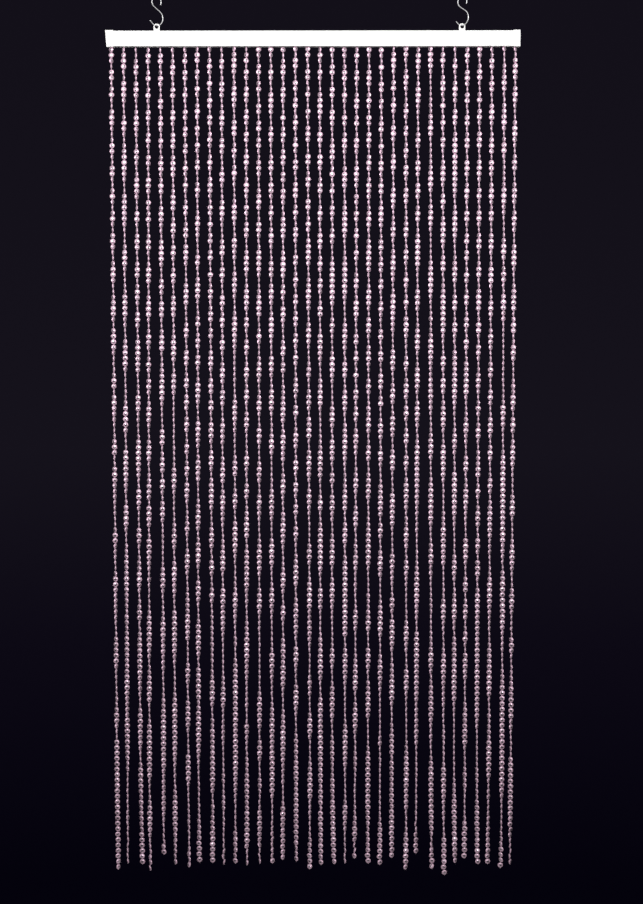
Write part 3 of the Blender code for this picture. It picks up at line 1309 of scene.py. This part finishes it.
@dataclass
class Studio:
    """The floor, the lights, the dim surroundings and the camera."""

    floor_radius: float = 0.60
    floor_clearance: float = 0.30
    floor_thickness: float = 0.02
    floor_steps: int = 96
    floor_smoothing: float = math.radians(30)
    backdrop: Tuple[SlopeTone, ...] = (
        SlopeTone(-0.27, (0.0012, 0.0008, 0.0036)),
        SlopeTone(-0.16, (0.0040, 0.0030, 0.0074)),
        SlopeTone(-0.07, (0.0076, 0.0062, 0.0112)),
        SlopeTone(0.13, (0.0066, 0.0053, 0.0098)),
    )
    surroundings: Tuple[SlopeTone, ...] = (
        SlopeTone(-0.13, (0.018, 0.016, 0.018)),
        SlopeTone(-0.04, (0.19, 0.18, 0.19)),
        SlopeTone(0.10, (0.24, 0.23, 0.24)),
        SlopeTone(0.60, (0.15, 0.14, 0.15)),
    )
    camera_place: Point = (0.053, -4.5, -0.6596)
    camera_pan: float = math.radians(0.449)
    camera_tilt: float = math.radians(-4.125)
    focal_pixels: float = 2060.3
    frame_height: float = 904.0
    sensor: float = 36.0
    lights: Tuple[Softbox, ...] = (
        Softbox("key_light", (0.0, -3.7, 0.15), (0.0, 0.0, 0.15), 2.2, 1.5, 18.0, spread=KEY_SPREAD),
        Softbox("high_light", (0.0, -3.5, 0.95), (0.0, 0.0, -1.8), 2.6, 1.3, 34.0),
        Softbox("left_light", (-2.3, -1.5, -0.35), (0.0, 0.0, -0.35), 0.9, 1.6, 2.5, spread=SIDE_SPREAD),
        Softbox("right_light", (2.3, -1.5, -0.35), (0.0, 0.0, -0.35), 0.9, 1.6, 2.5, spread=SIDE_SPREAD),
        Softbox("top_light", (0.0, -1.1, 1.5), (0.0, 0.0, -0.5), 2.2, 0.9, 8.0),
    )

    def add_floor(self) -> None:
        """Add a pale round floor below the strands."""
        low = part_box("strands")[0].z - self.floor_clearance
        bm = bmesh.new()
        bmesh.ops.create_cone(
            bm, cap_ends=True, segments=self.floor_steps, radius1=self.floor_radius,
            radius2=self.floor_radius, depth=self.floor_thickness,
        )
        bmesh.ops.translate(bm, verts=bm.verts, vec=(0.0, 0.0, low - self.floor_thickness / 2))
        mesh = bpy.data.meshes.new("floor")
        bm.to_mesh(mesh)
        bm.free()
        smooth(mesh, self.floor_smoothing)
        mesh.materials.append(PALE_FLOOR.material())
        link("floor", mesh)

    def add_world(self) -> None:
        """Light the scene softly from above the horizon, and show the camera a near-black backdrop."""
        world = bpy.data.worlds.new("studio")
        world.use_nodes = True
        bpy.context.scene.world = world
        nodes = Nodes(world.node_tree)
        background = world.node_tree.nodes["Background"]
        rays = nodes.add("LightPath")
        seen = self.graded(nodes, self.backdrop)
        lit = self.graded(nodes, self.surroundings)
        nodes.wire(nodes.mix(rays.outputs["Is Camera Ray"], lit, seen), background.inputs["Color"])

    def graded(self, nodes: Nodes, tones: Sequence[SlopeTone]) -> Socket:
        """Grade a colour by how steeply one looks up or down.

        Args:
            nodes: the world's nodes.
            tones: the colours from the steepest way down to the steepest way up.

        Returns:
            The colour's socket.
        """
        way = nodes.add("TexCoord")
        axes = nodes.add("SeparateXYZ")
        nodes.wire(way.outputs["Generated"], axes.inputs[0])
        place = nodes.add("MapRange")
        nodes.wire(axes.outputs["Z"], place.inputs[Nodes.RANGE_VALUE])
        place.inputs[Nodes.RANGE_FROM_LOW].default_value = -1.0
        ramp = nodes.add("ValToRGB")
        nodes.wire(place.outputs[0], ramp.inputs[0])
        stops = ramp.color_ramp.elements
        stops[0].color = (*tones[0].color, 1.0)
        stops[-1].color = (*tones[-1].color, 1.0)
        for tone in tones:
            stops.new((tone.slope + 1.0) / 2.0).color = (*tone.color, 1.0)
        return ramp.outputs["Color"]

    def add_camera(self) -> None:
        """Add the camera at the photo's place, a little right of the middle and looking down."""
        data = bpy.data.cameras.new("camera")
        data.sensor_width = self.sensor
        data.lens = self.focal_pixels / self.frame_height * self.sensor
        camera = link("camera", data)
        camera.location = self.camera_place
        camera.rotation_euler = (math.pi / 2 + self.camera_tilt, 0.0, self.camera_pan)
        bpy.context.scene.camera = camera

    def build(self) -> None:
        """Build the whole studio."""
        self.add_camera()
        self.add_floor()
        self.add_world()
        for light in self.lights:
            light.build()
        bpy.context.scene.view_settings.view_transform = "Standard"


def main() -> None:
    """Load the frame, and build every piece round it."""
    logging.basicConfig(level=logging.INFO, format="%(name)s %(message)s")
    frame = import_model()

    Studio().build()
    rail = HeaderRail()
    rail.dress(frame["nodes"])
    rail.build()
    for side in Side:
        HangerTab(side).build()
        WireHook(side).build()
    BeadStrands().build()


if __name__ == "__main__":
    main()
